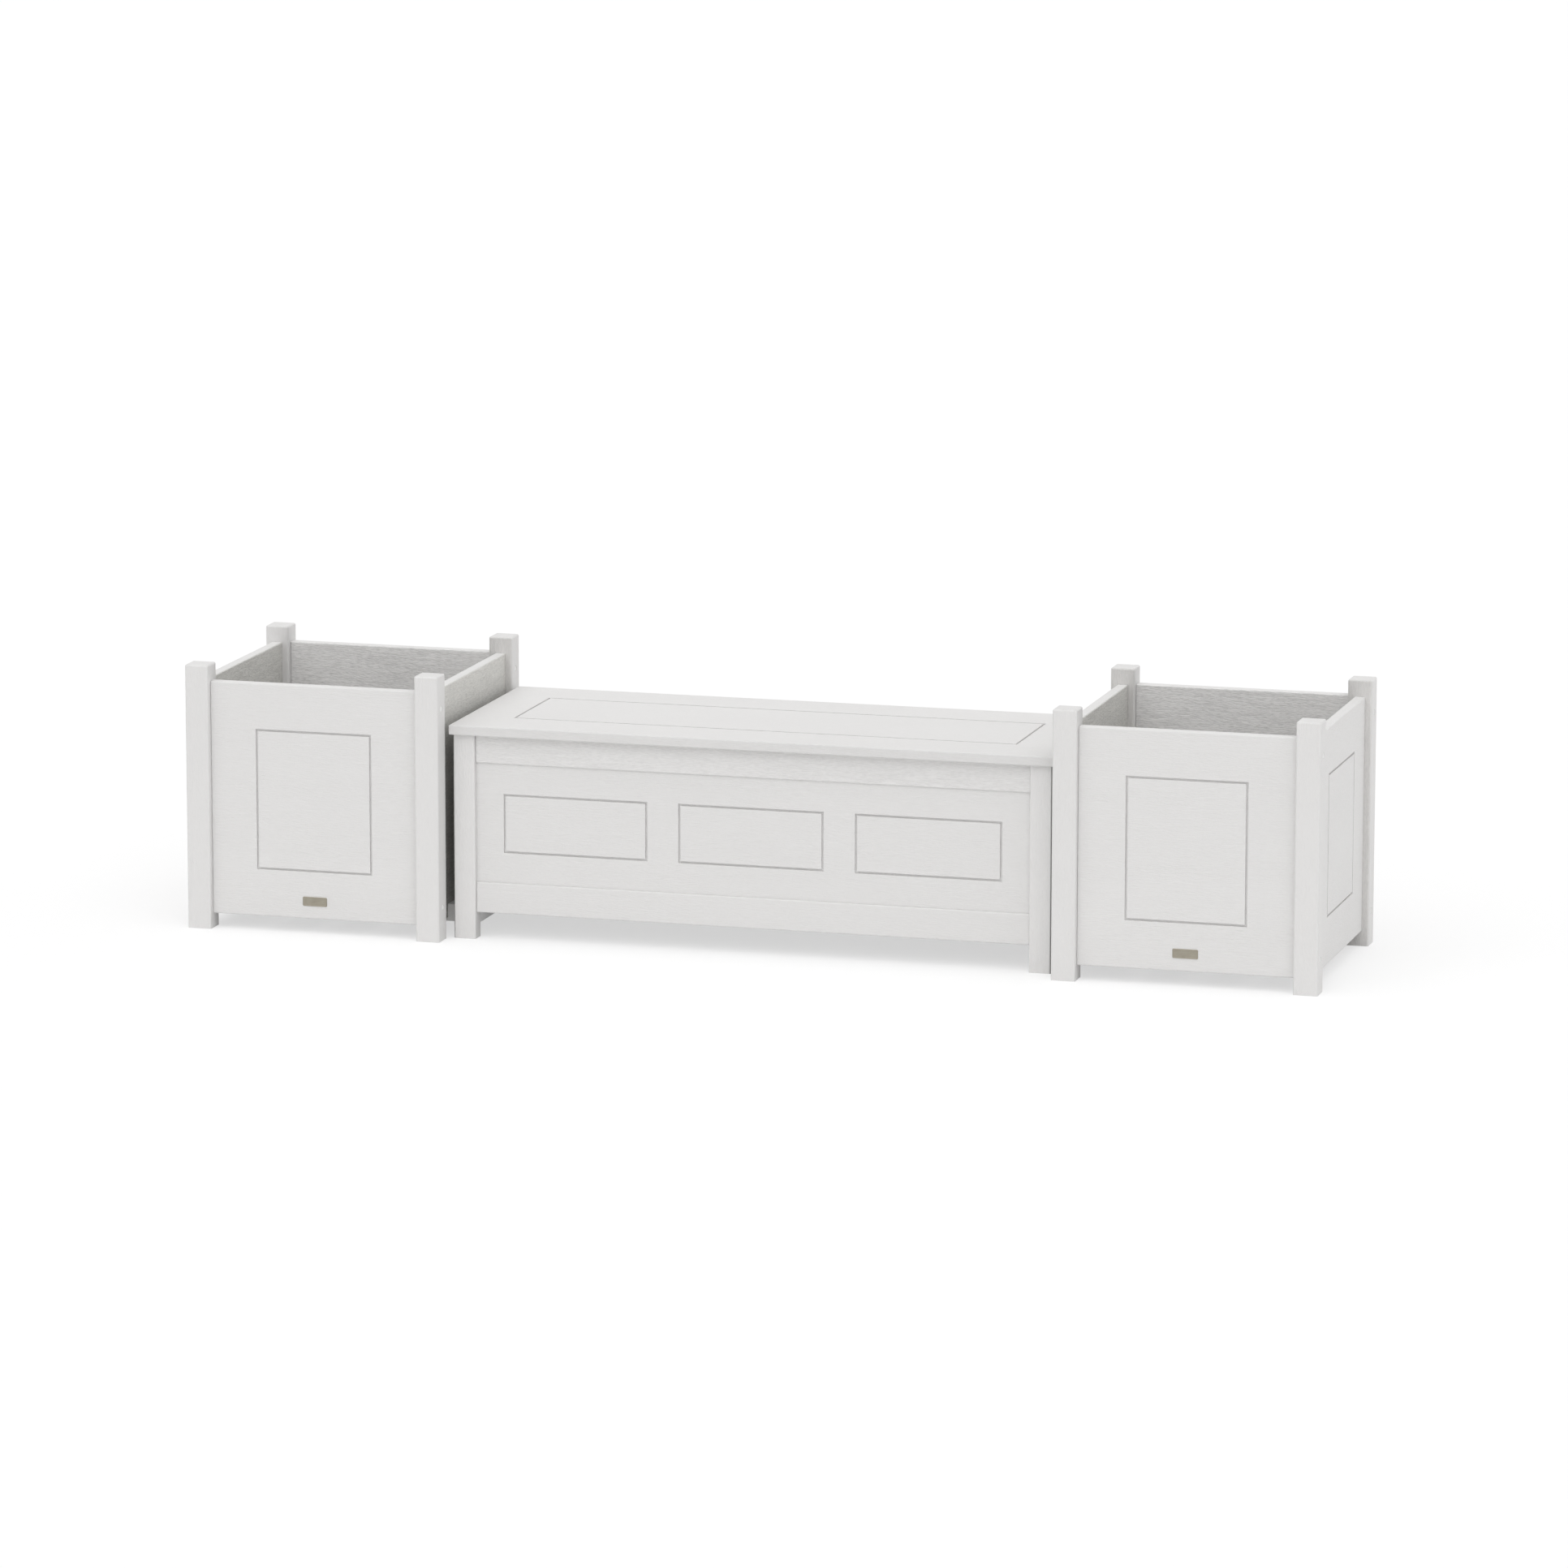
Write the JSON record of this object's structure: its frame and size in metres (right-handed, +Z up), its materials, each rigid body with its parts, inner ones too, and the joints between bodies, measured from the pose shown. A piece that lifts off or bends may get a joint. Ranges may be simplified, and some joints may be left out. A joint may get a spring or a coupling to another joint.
{
  "type": "bench with planter",
  "caption": "Storage bench with a hinged seat lid, tied at both ends to a square planter, in white plastic timber with routed line frames.",
  "frame": {"origin": "on the ground under the middle of the row, midway between the planters' front and back faces", "axes": "+X along the row to the right as seen from the front, +Y from the front to the back, +Z up"},
  "size_m": [2.3636, 0.542, 0.548],
  "materials": {
    "plastic_timber": "white plastic timber with a fine embossed wood grain",
    "sawn_board": "the same white plastic timber, plain sawn for hidden boards",
    "hinge_steel": "zinc plated and slightly dulled",
    "screw_steel": "pale coated screw heads",
    "plate_metal": "bronze coloured bare plate on each planter's front panel, made in the scene"
  },
  "bodies": {
    "base": {"bench_back_bottom_rail": "plastic_timber", "bench_back_left_leg": "plastic_timber", "bench_back_panel": "plastic_timber", "bench_back_right_leg": "plastic_timber", "bench_back_top_rail": "plastic_timber", "bench_floor_cleats": "sawn_board", "bench_floor_slats": "sawn_board", "bench_front_bottom_rail": "plastic_timber", "bench_front_left_leg": "plastic_timber", "bench_front_panel": "plastic_timber", "bench_front_right_leg": "plastic_timber", "bench_front_top_rail": "plastic_timber", "bench_left_bottom_rail": "plastic_timber", "bench_left_panel": "plastic_timber", "bench_left_top_rail": "plastic_timber", "bench_right_bottom_rail": "plastic_timber", "bench_right_panel": "plastic_timber", "bench_right_top_rail": "plastic_timber", "bench_screws": "screw_steel", "hinge_base_leaves": "hinge_steel", "hinge_base_screws": "screw_steel", "hinge_pins": "hinge_steel", "left_back_tie_board": "sawn_board", "left_front_tie_board": "sawn_board", "left_planter_back_left_post": "plastic_timber", "left_planter_back_panel": "plastic_timber", "left_planter_back_right_post": "plastic_timber", "left_planter_floor_cleats": "sawn_board", "left_planter_floor_slats": "sawn_board", "left_planter_front_left_post": "plastic_timber", "left_planter_front_panel": "plastic_timber", "left_planter_front_right_post": "plastic_timber", "left_planter_left_panel": "plastic_timber", "left_planter_right_panel": "plastic_timber", "left_planter_screws": "screw_steel", "right_back_tie_board": "sawn_board", "right_front_tie_board": "sawn_board", "right_planter_back_left_post": "plastic_timber", "right_planter_back_panel": "plastic_timber", "right_planter_back_right_post": "plastic_timber", "right_planter_floor_cleats": "sawn_board", "right_planter_floor_slats": "sawn_board", "right_planter_front_left_post": "plastic_timber", "right_planter_front_panel": "plastic_timber", "right_planter_front_right_post": "plastic_timber", "right_planter_left_panel": "plastic_timber", "right_planter_right_panel": "plastic_timber", "right_planter_screws": "screw_steel", "tie_screws": "screw_steel"},
    "lid": {"lid_board": "plastic_timber", "lid_battens": "sawn_board", "lid_screws": "screw_steel", "hinge_lid_leaves": "hinge_steel"}
  },
  "joints": [
    {"name": "lid_hinge", "type": "hinge", "parent": "base", "child": "lid", "pos_m": [0, 0.226, 0.42], "axis": [-1, 0, 0], "range_deg": [0, 95]}
  ]
}
